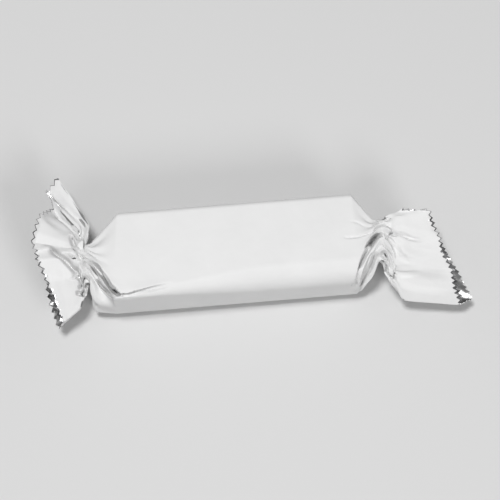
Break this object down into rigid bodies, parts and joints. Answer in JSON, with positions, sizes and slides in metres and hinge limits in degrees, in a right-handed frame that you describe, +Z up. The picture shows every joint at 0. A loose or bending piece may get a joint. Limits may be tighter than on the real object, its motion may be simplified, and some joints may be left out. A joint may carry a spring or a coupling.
{
  "type": "wrapped candy",
  "caption": "Stick-shaped sweet in a plain white twist wrapper, both paper ends gathered and flared into pleated fans.",
  "frame": {"origin": "middle of the flat underside of the bar, on the surface that the sweet rests on", "axes": "+X along the bar, from the wide half-open fan to the long flat one; +Z up; +Y to the back, away from the viewer of the picture"},
  "size_m": [0.0751, 0.0274, 0.0131],
  "materials": {
    "wrapper_paper": "satin white waxed paper outside, silvery metallised inside"
  },
  "bodies": {
    "root": {"wrapped_candy": "wrapper_paper"}
  },
  "joints": []
}
